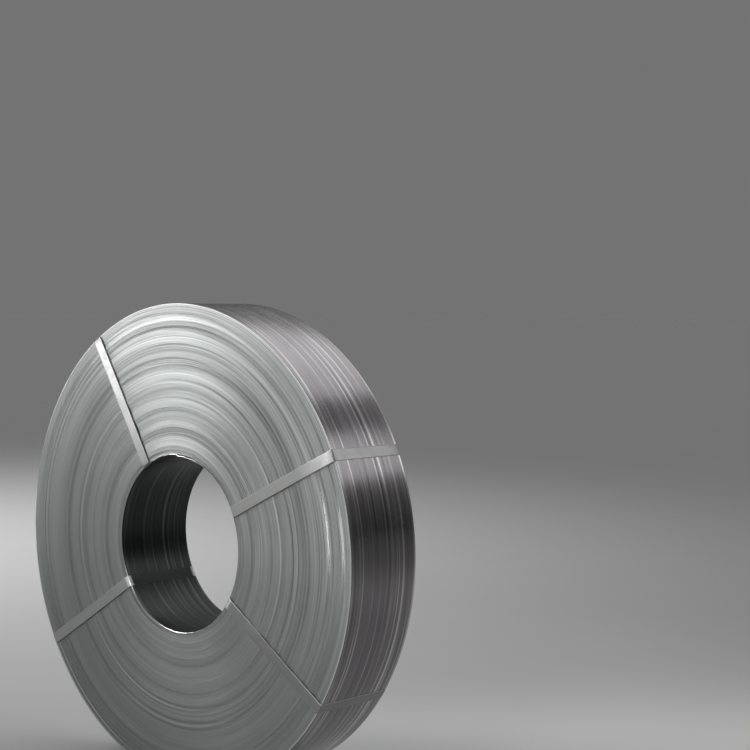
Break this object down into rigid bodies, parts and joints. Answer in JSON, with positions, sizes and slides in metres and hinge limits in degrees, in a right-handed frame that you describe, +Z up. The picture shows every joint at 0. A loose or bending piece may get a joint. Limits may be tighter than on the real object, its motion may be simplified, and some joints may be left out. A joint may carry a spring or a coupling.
{
  "type": "steel coil",
  "caption": "Narrow slit coil of galvanised steel strip standing on its rim, tied by steel eye straps that pass through its bore.",
  "frame": {"origin": "on the floor under the middle of the coil, where its rim rests", "axes": "+Z up, the bore along Y, and the front end, with no seals on it, faces -Y"},
  "size_m": [1.37, 0.2576, 1.37],
  "materials": {
    "galvanised_strip": "satin zinc coating, the cut edges of the turns dull and finely ringed",
    "strapping": "bright plain steel strapping",
    "seals": "dull zinc plated, crimped"
  },
  "bodies": {
    "root": {"strip_coil": "galvanised_strip", "eye_strap_1": "strapping", "eye_strap_2": "strapping", "eye_strap_3": "strapping", "eye_strap_4": "strapping", "strap_seal_1": "seals", "strap_seal_2": "seals", "strap_seal_3": "seals", "strap_seal_4": "seals"}
  },
  "joints": []
}
